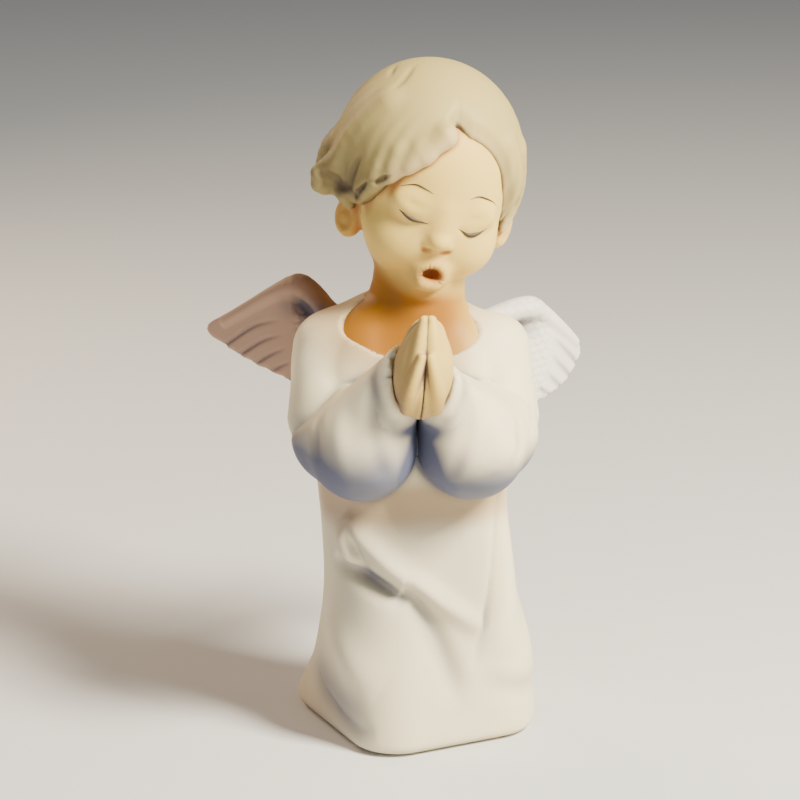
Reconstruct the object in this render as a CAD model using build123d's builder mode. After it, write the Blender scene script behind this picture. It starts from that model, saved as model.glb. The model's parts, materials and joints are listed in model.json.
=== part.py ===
"""Praying angel figurine: a hollow casting glued up from separate pieces.

Millimetres. +Z is up and the torso faces -Y, so +X is the figure's own left-hand side. The origin is on
the resting plane, under the torso's axis. The kneeling robe is turned towards +X below the torso, and the
shoulders lean down towards +X.
"""

import os
from math import cos, radians, sin

from build123d import *

# Driving dimensions
ROBE_WALL = 3.0
HEAD_WALL = 3.0
GLUE_GAP = 0.05
# Farther than any piece reaches, for tools that cut right through
BEYOND = 100.0

# Underside
FELT_THICKNESS = 1.0
FELT_PROUD = 0.5
PLATE_THICKNESS = 2.5
REBATE_INSET = 2.0
POUR_HOLE_RADIUS = 5.0
PLUG_FLANGE_RADIUS = 6.5
PLUG_FLANGE_THICKNESS = 1.2
PLUG_LENGTH = 5.5
PLUG_TAPER = 2.0
POUR_HOLE_CENTRE = (2.0, 6.0)

# Robe: the foot's outline, then the cross-sections above it
FOOT_CENTRE = (0.4, 7.0)
FOOT_WIDTH = 39.0
FOOT_DEPTH = 45.0
FOOT_CORNER = 10.0
FOOT_TURN = 23.0
SHOULDER_HEIGHT = 83.0
COLLAR_HEIGHT = 89.0
SHOULDER_LEAN = 5.0

# Neck and chest
NECKLINE_CENTRE = (0.4, -1.8, 83.0)
NECKLINE_SLOPE = 38.0
NECKLINE_RADII = (15.0, 12.0)
CHEST_DEPTH = 7.0
NECK_FOOT = (0.6, 1.0, 78.0)
NECK_TURN = (7.0, 6.0, 0.0)
NECK_RADIUS = 8.0
NECK_FOOT_RADIUS = 9.6
NECK_LENGTH = 24.0

# Head: an egg turned about its own upright axis, in a frame of its own where -Y is where it looks
HEAD_CENTRE = (3.9, -3.0, 120.8)
HEAD_TURN = (14.0, 9.0, 6.0)
SKULL_RADIUS = 16.6
CHIN_DROP = 27.6
CHEEK_RADIUS = 14.8
CHEEK_DROP = 12.5
HAIR_THICKNESS = 1.8
HAIR_DROP = 16.0
FACE_RADII = (12.5, 22.0)
FACE_TOP = 5.5
NOSE_RADIUS = 2.3
NOSE_DROP = 13.0
NOSE_PROUD = 0.6
MOUTH_RADIUS = 1.7
MOUTH_DROP = 19.5
MOUTH_SUNK = 1.0
EAR_RADIUS = 4.4
EAR_DROP = 12.0
EAR_SETBACK = 1.0
LOCK_ROOT = (-13.5, 1.0, -2.0)
LOCK_TIP = (-26.0, 1.5, -4.5)
LOCK_RADIUS = 6.0
LOCK_TIP_RADIUS = 1.5

# Arms, for the figure's left side
SHOULDER = (16.0, 2.0, 80.5)
SHOULDER_RADIUS = 6.5
ELBOW = (14.6, -6.5, 62.0)
ELBOW_RADIUS = 10.6
UPPER_ARM_END_RADIUS = 10.0
FOREARM_START_RADIUS = 10.4
FOREARM_MIDDLE = (9.8, -13.0, 64.4)
FOREARM_RADIUS = 11.4
FOREARM_SIDE_RADIUS = 10.9
CUFF = (4.6, -21.0, 77.5)
CUFF_RADIUS = 5.2

# Hands, palm to palm on the plane x = 0
WRIST = (-23.0, 71.5)
HAND_SLOPE = 6.0
# Cross-sections of the left hand: height, centre y, half width, thickness
HAND_RINGS = [
    (0.0, 0.0, 4.0, 5.0),
    (7.0, -0.6, 5.4, 5.4),
    (13.0, -0.6, 4.6, 4.6),
    (18.0, -0.2, 2.8, 3.2),
    (20.8, 0.2, 1.2, 1.6),
]

# Wings
WING_ROOT = (10.0, 13.0, 79.0)
WING_SWEEP = {-1: 22.0, 1: 40.0}
WING_ROOT_LEAN = 1.0
WING_THICKNESS = 3.0
WING_LEADING_EDGE = [(-1.0, 4.0), (6.0, 8.6), (12.6, 10.6), (21.0, 6.0)]
WING_TIP = (33.0, -3.0)
WING_HEEL = (3.0, -13.0)
FEATHER_COUNT = 6
FEATHER_BULGE = (0.8, -1.4)
TENON_RADIUS = 2.8
TENON_LENGTH = 5.0
TENON_WAY = (-0.2, -1.0, -0.1)
PIN_RADIUS = 0.8
PIN_LENGTH = 6.5

# Cross-sections of the robe: height, centre x, centre y, width, depth, corner radius, turn, lean
ROBE_RINGS = [
    (FELT_PROUD, *FOOT_CENTRE, FOOT_WIDTH, FOOT_DEPTH, FOOT_CORNER, FOOT_TURN, 0.0),
    (5.0, *FOOT_CENTRE, FOOT_WIDTH, FOOT_DEPTH, FOOT_CORNER, FOOT_TURN, 0.0),
    (18.0, 2.4, 3.4, 40.5, 36.0, 12.0, 20.0, 0.0),
    (30.0, 1.6, 1.2, 39.0, 30.0, 12.5, 16.0, 0.0),
    (44.0, 0.4, 0.4, 38.5, 27.0, 12.5, 10.0, 0.0),
    (60.0, 0.0, 0.6, 41.0, 26.0, 12.5, 4.0, 2.0),
    (74.0, 0.0, 1.4, 44.0, 25.0, 12.0, 0.0, SHOULDER_LEAN),
    (SHOULDER_HEIGHT, 0.2, 2.0, 38.0, 20.0, 9.5, 0.0, SHOULDER_LEAN),
    (COLLAR_HEIGHT, 0.6, 2.0, 24.0, 14.0, 6.5, 0.0, SHOULDER_LEAN),
]


def robe_loft(rings, inset):
    """The solid through the robe's cross-sections, each taken in by inset."""
    with BuildPart() as form:
        for height, x, y, width, depth, corner, turn, lean in rings:
            with BuildSketch(Plane(Location((x, y, height), (0, lean, turn)))):
                RectangleRounded(width - 2 * inset, depth - 2 * inset, corner - inset)
        loft()
    return form.part


def cone_between(start, end, start_radius, end_radius):
    """A round tapered bar from one point to another."""
    way = Vector(*end) - Vector(*start)
    with BuildPart() as bar:
        with BuildSketch(Plane(origin=start, z_dir=way)):
            Circle(start_radius)
        with BuildSketch(Plane(origin=end, z_dir=way)):
            Circle(end_radius)
        loft()
    return bar.part


def head_plane(x=0.0, y=0.0, z=0.0, turn=(0, 0, 0)):
    """A plane placed in the head's own frame."""
    return Plane(Location(HEAD_CENTRE, HEAD_TURN) * Location((x, y, z), turn))


def head_egg(grow):
    """The head's egg shape, grown evenly by grow."""
    with BuildPart() as egg:
        with BuildSketch(head_plane(turn=(90, 0, 0))):
            with BuildLine():
                crown = CenterArc((0, 0), SKULL_RADIUS + grow, 0, 90)
                jaw = Spline(
                    (SKULL_RADIUS + grow, 0),
                    (CHEEK_RADIUS + grow, -CHEEK_DROP),
                    (0, -CHIN_DROP - grow),
                    tangents=((0, -1), (-1, 0)),
                )
                Line(jaw @ 1, crown @ 1)
            make_face()
        revolve(axis=Axis(head_plane().origin, head_plane().z_dir))
    return egg.part


os.makedirs("parts", exist_ok=True)

robe_form = robe_loft(ROBE_RINGS, 0)
skull_form = head_egg(0)

# Neck and chest: the bare skin inside the scooped neckline, and the spigot that carries the head
neck_plane = Plane(Location(NECK_FOOT, NECK_TURN))
with BuildPart() as neck_and_chest:
    with BuildSketch(Plane(Location(NECKLINE_CENTRE, (NECKLINE_SLOPE, SHOULDER_LEAN, 0)))):
        Ellipse(*NECKLINE_RADII)
    extrude(amount=CHEST_DEPTH, both=True)
    add(robe_form, mode=Mode.INTERSECT)
    with BuildSketch(neck_plane):
        Circle(NECK_FOOT_RADIUS)
    with BuildSketch(neck_plane.offset(NECK_LENGTH / 2)):
        Circle(NECK_RADIUS)
    with BuildSketch(neck_plane.offset(NECK_LENGTH)):
        Circle(NECK_RADIUS)
    loft()
neck_and_chest.part.label = "neck_and_chest"

# Head: hollow at the crown, with a pocket for the neck
with BuildPart() as head:
    add(skull_form)
    with Locations(head_plane(0, -CHEEK_RADIUS - NOSE_PROUD, -NOSE_DROP).location):
        Sphere(NOSE_RADIUS)
    for side in (-1, 1):
        with Locations(head_plane(side * CHEEK_RADIUS, EAR_SETBACK, -EAR_DROP).location):
            Sphere(EAR_RADIUS)
    with Locations(head_plane().location):
        Sphere(SKULL_RADIUS - HEAD_WALL, mode=Mode.SUBTRACT)
    with Locations(head_plane(0, -CHEEK_RADIUS + MOUTH_SUNK, -MOUTH_DROP).location):
        Sphere(MOUTH_RADIUS, mode=Mode.SUBTRACT)
    add(neck_and_chest.part, mode=Mode.SUBTRACT)
head.part.label = "head"

# Hair: a cap over the skull, open at the face, with one lock flicked out beside the right ear
with BuildPart() as hair:
    add(head_egg(HAIR_THICKNESS))
    with Locations(head_plane(0, 0, -HAIR_DROP).location):
        Box(BEYOND, BEYOND, BEYOND, align=(Align.CENTER, Align.CENTER, Align.MAX), mode=Mode.SUBTRACT)
    lock_root = head_plane(*LOCK_ROOT).origin
    lock_tip = head_plane(*LOCK_TIP).origin
    add(cone_between(lock_root, lock_tip, LOCK_RADIUS, LOCK_TIP_RADIUS))
    with BuildSketch(head_plane(0, 0, FACE_TOP - FACE_RADII[1], turn=(90, 0, 0))):
        Ellipse(*FACE_RADII)
    extrude(amount=2 * SKULL_RADIUS, mode=Mode.SUBTRACT)
    add(skull_form, mode=Mode.SUBTRACT)
    add(head.part, mode=Mode.SUBTRACT)
    add(neck_and_chest.part, mode=Mode.SUBTRACT)
hair.part.label = "hair"

# Hands: one casting each, palm against palm, with the wrist let into its cuff
hand_plane = Plane(Location((GLUE_GAP, *WRIST), (HAND_SLOPE, 0, 0)))
with BuildPart() as left_hand:
    for height, centre_y, half_width, thickness in HAND_RINGS:
        with BuildSketch(hand_plane.offset(height)):
            with Locations((0, centre_y)):
                Ellipse(thickness, half_width)
                Rectangle(
                    2 * thickness,
                    4 * half_width,
                    align=(Align.MIN, Align.CENTER),
                    mode=Mode.INTERSECT,
                )
    loft()
left_hand.part.label = "left_hand"

with BuildPart() as right_hand:
    mirror(left_hand.part, about=Plane.YZ)
right_hand.part.label = "right_hand"

# Sleeves: a hanging drop of cloth from shoulder to elbow to cuff, fitted to its neighbours
with BuildPart() as left_sleeve:
    add(cone_between(SHOULDER, ELBOW, SHOULDER_RADIUS, UPPER_ARM_END_RADIUS))
    add(cone_between(ELBOW, FOREARM_MIDDLE, FOREARM_START_RADIUS, FOREARM_SIDE_RADIUS))
    add(cone_between(FOREARM_MIDDLE, CUFF, FOREARM_SIDE_RADIUS, CUFF_RADIUS))
    with Locations(SHOULDER):
        Sphere(SHOULDER_RADIUS)
    with Locations(ELBOW):
        Sphere(ELBOW_RADIUS)
    with Locations(FOREARM_MIDDLE):
        Sphere(FOREARM_RADIUS)
    with BuildSketch(Plane.YZ.offset(GLUE_GAP)):
        with Locations((0, SHOULDER_HEIGHT / 2)):
            Rectangle(2 * BEYOND, 2 * BEYOND)
    extrude(amount=BEYOND, mode=Mode.INTERSECT)
left_sleeve.part.label = "left_sleeve"

with BuildPart() as right_sleeve:
    mirror(left_sleeve.part, about=Plane.YZ)
right_sleeve.part.label = "right_sleeve"

for sleeve, hand in ((left_sleeve, left_hand), (right_sleeve, right_hand)):
    label = sleeve.part.label
    with sleeve:
        add(robe_form, mode=Mode.SUBTRACT)
        add(neck_and_chest.part, mode=Mode.SUBTRACT)
        add(hand.part, mode=Mode.SUBTRACT)
    sleeve.part.label = label

# Wings: a feathered plate each, with a tenon for its socket in the robe's back and a steel pin along it
wings = []
for side, name in ((-1, "right_wing"), (1, "left_wing")):
    sweep = radians(WING_SWEEP[side])
    root = Vector(side * WING_ROOT[0], WING_ROOT[1], WING_ROOT[2] - side * WING_ROOT_LEAN)
    outwards = Vector(side * cos(sweep), sin(sweep), 0)
    wing_plane = Plane(origin=root, x_dir=outwards, z_dir=outwards.cross(Vector(0, 0, 1)))
    tenon_way = Vector(side * TENON_WAY[0], TENON_WAY[1], TENON_WAY[2])
    with BuildPart() as pin:
        with BuildSketch(Plane(origin=root, z_dir=tenon_way)):
            Circle(PIN_RADIUS)
        extrude(amount=PIN_LENGTH)
    pin.part.label = name + "_pin"
    with BuildPart() as wing:
        with BuildSketch(wing_plane):
            with BuildLine():
                leading = Spline(*WING_LEADING_EDGE, WING_TIP)
                feather_start = WING_TIP
                for feather in range(1, FEATHER_COUNT + 1):
                    share = feather / FEATHER_COUNT
                    feather_end = (
                        WING_TIP[0] + (WING_HEEL[0] - WING_TIP[0]) * share,
                        WING_TIP[1] + (WING_HEEL[1] - WING_TIP[1]) * sin(radians(90 * share)),
                    )
                    feather_middle = (
                        (feather_start[0] + feather_end[0]) / 2 + FEATHER_BULGE[0],
                        (feather_start[1] + feather_end[1]) / 2 + FEATHER_BULGE[1],
                    )
                    ThreePointArc(feather_start, feather_middle, feather_end)
                    feather_start = feather_end
                Line(WING_HEEL, leading @ 0)
            make_face()
        extrude(amount=WING_THICKNESS / 2, both=True)
        with BuildSketch(Plane(origin=root, z_dir=tenon_way)):
            Circle(TENON_RADIUS)
        extrude(amount=TENON_LENGTH)
        add(pin.part, mode=Mode.SUBTRACT)
    wing.part.label = name
    wings += [wing, pin]

# Underside: a closing plate in a rebate inside the hem, its pour-hole plug, and the felt below them
foot_plane = Plane(Location((*FOOT_CENTRE, 0), (0, 0, FOOT_TURN)))
rebate_size = (FOOT_WIDTH - 2 * REBATE_INSET, FOOT_DEPTH - 2 * REBATE_INSET, FOOT_CORNER - REBATE_INSET)
with BuildPart() as felt_pad:
    with BuildSketch(foot_plane):
        RectangleRounded(*rebate_size)
    extrude(amount=FELT_THICKNESS)
felt_pad.part.label = "felt_pad"

with BuildPart() as pour_hole_plug:
    with BuildSketch(Plane.XY.offset(FELT_THICKNESS)):
        with Locations(POUR_HOLE_CENTRE):
            Circle(PLUG_FLANGE_RADIUS)
    extrude(amount=PLUG_FLANGE_THICKNESS)
    with BuildSketch(Plane.XY.offset(FELT_THICKNESS)):
        with Locations(POUR_HOLE_CENTRE):
            Circle(POUR_HOLE_RADIUS)
    extrude(amount=PLUG_LENGTH, taper=PLUG_TAPER)
pour_hole_plug.part.label = "pour_hole_plug"

with BuildPart() as closing_plate:
    with BuildSketch(foot_plane.offset(FELT_THICKNESS)):
        RectangleRounded(*rebate_size)
    extrude(amount=PLATE_THICKNESS)
    add(pour_hole_plug.part, mode=Mode.SUBTRACT)
closing_plate.part.label = "closing_plate"

# Robe: a shell from hem to shoulders, cut for everything that is let into it
with BuildPart() as robe:
    add(robe_form)
    add(robe_loft(ROBE_RINGS[:-1], ROBE_WALL), mode=Mode.SUBTRACT)
    with BuildSketch(foot_plane):
        RectangleRounded(*rebate_size)
    extrude(amount=FELT_THICKNESS + PLATE_THICKNESS, mode=Mode.SUBTRACT)
    add(neck_and_chest.part, mode=Mode.SUBTRACT)
    for let_in in wings:
        add(let_in.part, mode=Mode.SUBTRACT)
robe.part.label = "robe"

pieces = [robe, neck_and_chest, head, hair, left_sleeve, right_sleeve, left_hand, right_hand]
pieces += [*wings, closing_plate, pour_hole_plug, felt_pad]
for piece in pieces:
    export_step(piece.part, f"parts/{piece.part.label}.step")
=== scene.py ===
"""Kneeling angel figurine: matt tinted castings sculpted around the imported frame.

Every casting is sculpted as clay: beads fill its form, and their common skin is then pressed onto the form.
Forms are worked out in millimetres and the finished meshes are in metres.
"""

import json
import math

import bmesh
import bpy
import numpy as np
from bpy.props import FloatProperty, FloatVectorProperty, PointerProperty
from mathutils import Euler, Matrix, Vector

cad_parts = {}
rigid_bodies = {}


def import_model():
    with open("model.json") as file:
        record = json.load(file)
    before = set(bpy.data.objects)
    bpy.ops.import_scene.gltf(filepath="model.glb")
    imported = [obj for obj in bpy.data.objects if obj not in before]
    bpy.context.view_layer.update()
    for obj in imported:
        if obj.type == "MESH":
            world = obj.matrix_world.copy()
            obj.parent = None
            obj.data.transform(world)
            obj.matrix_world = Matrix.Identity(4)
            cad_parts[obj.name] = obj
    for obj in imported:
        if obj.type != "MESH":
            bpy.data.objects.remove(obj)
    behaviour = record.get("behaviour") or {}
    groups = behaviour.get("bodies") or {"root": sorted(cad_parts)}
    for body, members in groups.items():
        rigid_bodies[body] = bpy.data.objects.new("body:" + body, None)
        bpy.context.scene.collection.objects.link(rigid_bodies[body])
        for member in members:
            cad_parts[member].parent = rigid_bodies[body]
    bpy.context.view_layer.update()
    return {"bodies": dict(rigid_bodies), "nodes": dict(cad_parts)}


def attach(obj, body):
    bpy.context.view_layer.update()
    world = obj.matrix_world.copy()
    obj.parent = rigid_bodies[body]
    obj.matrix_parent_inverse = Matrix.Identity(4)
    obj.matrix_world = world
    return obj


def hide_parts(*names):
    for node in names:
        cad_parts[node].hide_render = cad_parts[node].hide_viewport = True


bl_info = {
    "name": "Kneeling Angel Figurine",
    "version": (1, 0, 0),
    "blender": (4, 5, 0),
    "location": "View3D > Sidebar > Figurine",
    "description": "Sculpts the castings of a kneeling angel figurine around its packed frame",
    "category": "Object",
}

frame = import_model()
MM = 0.001
BODY = next(iter(frame["bodies"]))


# ---------------------------------------------------------------- clay: forms as distance fields


def soft_least(a, b, soft):
    """The lesser of two fields, with a fillet of about soft where they meet."""
    share = np.clip(0.5 + 0.5 * (b - a) / soft, 0, 1)
    return b + (a - b) * share - soft * share * (1 - share)


def soft_most(a, b, soft):
    """The greater of two fields, with a rounding of about soft where they meet."""
    return -soft_least(-a, -b, soft)


def ramp(value, low, high):
    """0 below low, 1 above high, and smooth between."""
    share = np.clip((value - low) / (high - low), 0, 1)
    return share * share * (3 - 2 * share)


def flow(at, stops, values):
    """Values on a smooth curve through the stops."""
    stops, values = np.asarray(stops, float), np.asarray(values, float)
    slopes = np.gradient(values, stops)
    at = np.clip(at, stops[0], stops[-1])
    i = np.clip(np.searchsorted(stops, at) - 1, 0, len(stops) - 2)
    gap = stops[i + 1] - stops[i]
    t = (at - stops[i]) / gap
    start = (2 * t**3 - 3 * t**2 + 1) * values[i] + (t**3 - 2 * t**2 + t) * gap * slopes[i]
    end = (3 * t**2 - 2 * t**3) * values[i + 1] + (t**3 - t**2) * gap * slopes[i + 1]
    return start + end


def turned(degrees):
    """A rotation matrix from three angles, turned about X, then Y, then Z."""
    return np.array(Euler([math.radians(a) for a in degrees], "XYZ").to_matrix())


def oval(p, centre, radii, turn=None):
    """An ellipsoid."""
    q = p - np.asarray(centre, float)
    if turn is not None:
        q = q @ turned(turn)
    radii = np.asarray(radii, float)
    near = np.linalg.norm(q / radii, axis=1)
    steep = np.linalg.norm(q / radii**2, axis=1) + 1e-9
    return near * (near - 1) / steep


def bar(p, start, end, start_radius, end_radius):
    """A round bar that tapers from one end to the other."""
    start, way = np.asarray(start, float), np.asarray(end, float) - np.asarray(start, float)
    share = np.clip((p - start) @ way / (way @ way), 0, 1)
    apart = np.linalg.norm(p - start - share[:, None] * way, axis=1)
    return apart - (start_radius + (end_radius - start_radius) * share)


def smooth_path(points, steps=4):
    """More points along a smooth line through the given ones."""
    points = np.asarray(points, float)
    stops = np.arange(len(points))
    fine = np.linspace(0, len(points) - 1, (len(points) - 1) * steps + 1)
    return np.stack([flow(fine, stops, column) for column in points.T], axis=1)


def rope(p, points, radii, steps=3):
    """A round bar along a smooth line, with its radius at each point."""
    path = smooth_path(np.column_stack([points, radii]), steps)
    low = path[:, :3].min(axis=0) - max(radii)
    high = path[:, :3].max(axis=0) + max(radii)
    field = np.linalg.norm(np.maximum(np.maximum(low - p, p - high), 0), axis=1)
    near = field < 4
    close = p[near]
    exact = np.full(len(close), 1e3)
    for a, b in zip(path[:-1], path[1:]):
        exact = np.minimum(exact, bar(close, a[:-1], b[:-1], a[-1], b[-1]))
    field[near] = exact
    return field


def line_mark(places, points, width, depths, steps=4):
    """How deep a soft line presses, for places and points that are flat or in space."""
    path = smooth_path(np.column_stack([points, depths]), steps)
    low = path[:, :-1].min(axis=0) - 2.6 * width
    high = path[:, :-1].max(axis=0) + 2.6 * width
    near = np.all((places > low) & (places < high), axis=1)
    close = places[near]
    nearest = np.full(len(close), 1e9)
    deep = np.zeros(len(close))
    for a, b in zip(path[:-1], path[1:]):
        way = b[:-1] - a[:-1]
        share = np.clip((close - a[:-1]) @ way / (way @ way + 1e-9), 0, 1)
        apart = np.sum((close - a[:-1] - share[:, None] * way) ** 2, axis=1)
        closer = apart < nearest
        nearest = np.where(closer, apart, nearest)
        deep = np.where(closer, a[-1] + (b[-1] - a[-1]) * share, deep)
    pressed = np.zeros(len(places))
    pressed[near] = deep * np.exp(-nearest / width**2)
    return pressed


def outline_field(places, corners):
    """Distance to a closed flat outline, negative inside it."""
    nearest = np.full(len(places), 1e9)
    inside = np.zeros(len(places), bool)
    for a, b in zip(corners, np.roll(corners, -1, axis=0)):
        way = b - a
        share = np.clip((places - a) @ way / (way @ way + 1e-9), 0, 1)
        nearest = np.minimum(nearest, np.sum((places - a - share[:, None] * way) ** 2, axis=1))
        crosses = (a[1] > places[:, 1]) != (b[1] > places[:, 1])
        level = np.where(crosses, (places[:, 1] - a[1]) / (b[1] - a[1] + 1e-12), 0)
        inside ^= crosses & (places[:, 0] < a[0] + level * way[0])
    return np.where(inside, -1, 1) * np.sqrt(nearest)


# ---------------------------------------------------------------- the robe's form

# Cross-sections: height, centre x, centre y, width, depth, corner radius, turn
ROBE_SECTIONS = np.array([
    (0.5, 0.8, 7.0, 40.6, 45.0, 10.0, 23.0),
    (5.0, 1.2, 6.6, 41.0, 44.0, 10.5, 23.0),
    (18.0, 2.4, 3.6, 41.0, 36.0, 12.0, 20.0),
    (30.0, 1.6, 1.4, 38.5, 30.0, 12.5, 16.0),
    (44.0, 0.4, 0.6, 37.5, 27.0, 12.5, 10.0),
    (60.0, 0.0, 0.8, 40.0, 26.0, 12.5, 4.0),
    (72.0, 0.0, 1.4, 43.0, 25.0, 12.0, 0.0),
    (79.0, 0.2, 1.8, 40.5, 22.5, 11.0, 0.0),
    (85.0, 0.4, 2.0, 33.0, 18.5, 8.5, 0.0),
    (89.0, 0.6, 2.0, 25.0, 14.0, 6.5, 0.0),
    (91.6, 0.6, 2.0, 17.0, 12.0, 5.5, 0.0),
])
# Folds of a sleeve: points, width, and depth at each point (positive is pressed in, negative stands out),
# beside the elbow, beside the cuff, and down the front
SLEEVE_FOLDS = [
    (((25.6, -3.0, 75.4), (24.6, -8.6, 72.6), (23.0, -12.6, 69.0)), 1.0, (0.2, 1.1, 0.2)),
    (
        ((8.8, -23.4, 83.4), (9.4, -25.8, 78.6), (9.2, -27.2, 72.4), (7.4, -27.6, 66.4), (6.0, -24.6, 61.0)),
        1.5, (0.4, 1.2, 1.4, 0.9, 0),
    ),
    (((15.2, -21.6, 74.6), (15.4, -24.4, 69.6), (14.6, -25.4, 64.0)), 2.0, (-0.2, -0.6, -0.2)),
    (((19.6, -17.0, 72.6), (19.4, -20.6, 68.0), (18.0, -22.0, 62.6)), 1.6, (0.1, 0.7, 0.1)),
]
# Where the hanging part of each sleeve stops above, at the crook of the arm: ways out of planes, and how far
CROOKS = {
    -1: (((0.716, 0.074, 0.695), 62.5),),
    1: (((0.716, 0.074, 0.695), 60.6), ((0.48, 0.0, 0.877), 74.3)),
}
SHOULDER_LEAN = math.tan(math.radians(6.0))
SHOULDER_DROP = 0.8  # how much lower the left sleeve starts
HEM_HEIGHT = 0.5
NECKLINE_CENTRE = (-1.0, -1.8, 83.0)
NECKLINE_TURN = (38.0, 6.0, 0.0)
NECKLINE_RADII = (13.6, 6.8)
NECKLINE_STEP = 1.1  # how far the chest lies below the collar's edge
CUFF_GAP = 0.15

# Folds round the robe: points of (degrees from the front, height), width, and depth at each point
# (positive is pressed in, negative stands out)
KNEE_FOLD = (
    ((-98, 13), (-88, 8.2), (-70, 6.0), (-57, 5.2), (-40, 5.0), (-24, 5.2)), 1.7, (0.3, 0.7, 0.8, 0.7, 0.5, 0),
)
KNEE_SHADE_RISE = 3.6
ROBE_FOLDS = [
    (
        ((-50, 49), (-40, 46.9), (-18, 40.1), (7, 33.8), (35, 27.4), (44, 24.7), (50, 22)),
        2.3, (0, -1.1, -1.5, -1.5, -1.0, -0.4, 0),
    ),
    (((-58, 41), (-50, 39.1), (-36, 37.1), (-17, 33.7), (-8, 31)), 1.9, (0, 1.2, 1.7, 1.2, 0)),
    (((-10, 35.5), (-6, 34.2), (13, 24.1), (24, 15.9), (29, 10)), 2.8, (0, 0.9, 1.2, 1.0, 0.2)),
    (((66, 53), (64, 48.9), (60, 41.1), (52, 30.2), (46, 24.0), (39, 16.0)), 1.2, (0, 0.7, 0.9, 1.1, 0.9, 0)),
    (((74, 50), (70, 40), (62, 28), (54, 18)), 3.8, (0, -0.8, -1.0, 0)),
    KNEE_FOLD,
    (((40, 15), (50, 13.2), (60, 11.4), (72, 10.2), (84, 9.6)), 2.4, (0, 0.3, 0.55, 0.7, 0.5)),
    (((-48, 44.5), (-46, 41)), 2.6, (-1.1, -1.1)),
    (((-46, 49), (-41, 44), (-35, 39.4)), 1.1, (0, 0.7, 0.2)),
    (((-76, 30), (-62, 24), (-42, 18), (-22, 14)), 5.0, (0, -0.9, -1.1, 0)),
    (((120, 60), (130, 40), (136, 20), (140, 5)), 3.2, (0, 0.8, 1.1, 0.6)),
    (((155, 66), (160, 45), (168, 25), (172, 6)), 3.6, (0, 0.9, 1.2, 0.8)),
    (((200, 68), (196, 45), (196, 25), (200, 6)), 3.4, (0, 0.8, 1.1, 0.8)),
    (((236, 62), (232, 42), (228, 22), (228, 6)), 3.2, (0, 0.7, 1.1, 0.6)),
    (((-104, 50), (-108, 34), (-112, 20), (-116, 8)), 3.2, (0, 0.6, 0.9, 0.4)),
]

# How much deeper every fold is pressed than its table says
FOLD_STRENGTH = 1.6
ROBE_AXIS = (0.4, 2.0)
# Millimetres round the robe for each degree, at a radius of 20 mm
ROUND_STEP = math.radians(20)


def robe_angle(p):
    """Degrees round the robe from its front, positive to the figurine's left."""
    return np.degrees(np.arctan2(p[:, 0] - ROBE_AXIS[0], ROBE_AXIS[1] - p[:, 1]))


def unrolled(places):
    """Pairs of angle and height, in millimetres both ways."""
    return np.asarray(places, float) * (ROUND_STEP, 1)


def robe_torso(p):
    """The robe without its sleeves or folds."""
    height = p[:, 2] + p[:, 0] * SHOULDER_LEAN * ramp(p[:, 2], 50, 76)
    x, y, width, depth, corner, turn = (
        flow(height, ROBE_SECTIONS[:, 0], column) for column in ROBE_SECTIONS.T[1:]
    )
    turn = np.radians(turn)
    across = np.cos(turn) * (p[:, 0] - x) + np.sin(turn) * (p[:, 1] - y)
    along = np.cos(turn) * (p[:, 1] - y) - np.sin(turn) * (p[:, 0] - x)
    past_x = np.abs(across) - width / 2 + corner
    past_y = np.abs(along) - depth / 2 + corner
    outside = np.hypot(np.maximum(past_x, 0), np.maximum(past_y, 0))
    wall = outside + np.minimum(np.maximum(past_x, past_y), 0) - corner
    ends = np.maximum(HEM_HEIGHT - p[:, 2], height - ROBE_SECTIONS[-1, 0])
    return soft_most(wall, ends, 2.6)


def robe_folds(p):
    """How far the folds move the robe's surface in."""
    places = unrolled(np.column_stack([robe_angle(p), p[:, 2]]))
    pressed = np.zeros(len(p))
    for points, width, depths in ROBE_FOLDS:
        shift = 360 * ROUND_STEP if points[0][0] > 180 else 0
        here = places.copy()
        here[:, 0] += np.where(here[:, 0] < 0, shift, 0)
        pressed += FOLD_STRENGTH * line_mark(here, unrolled(points), width, depths)
    return pressed


def sleeve(p, side):
    """One sleeve: upper arm, elbow and the hanging forearm, narrowing to the cuff."""
    q = p * (side, 1, 1)
    drop = SHOULDER_DROP if side > 0 else 0.0
    upper = bar(q, (17.0, 1.6, 81.2 - drop), (16.4, -3.5, 68.0), 6.6, 8.8)
    elbow = oval(q, (13.8, -8.2, 65.4), (10.8, 10.6, 10.4))
    lobe = oval(q, (10.8, -15.2, 65.2), (10.8, 11.6, 11.0))
    forearm = bar(q, (10.6, -15.4, 66.4), (3.4, -23.0, 82.8), 10.4, 4.4)
    hanging = soft_least(soft_least(lobe, elbow, 2.4), forearm, 1.6)
    above = np.minimum.reduce([q @ np.array(way) - far for way, far in CROOKS[side]])
    return soft_least(soft_most(hanging, above, 1.0), upper, 0.5)


def sleeve_folds(p):
    """How far the folds of both sleeves move the robe's surface in."""
    pressed = np.zeros(len(p))
    for side in (-1, 1):
        for points, width, depths in SLEEVE_FOLDS:
            pressed += line_mark(p * (side, 1, 1), points, width, depths)
    return pressed


def neckline(p):
    """The slanting oval that the neck opening follows."""
    q = (p - np.asarray(NECKLINE_CENTRE)) @ turned(NECKLINE_TURN)
    return oval(q * (1, 1, 0), (0, 0, 0), (*NECKLINE_RADII, 1e3))


def from_hands(p):
    """How far places are from the hands, in millimetres, where the cuffs are."""
    near = np.all((p > (-14, -40, 66)) & (p < (15, -14, 100)), axis=1)
    room = np.full(len(p), 9.0)
    room[near] = np.minimum(hand_form(p[near], -1), hand_form(p[near], 1))
    return room


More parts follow.
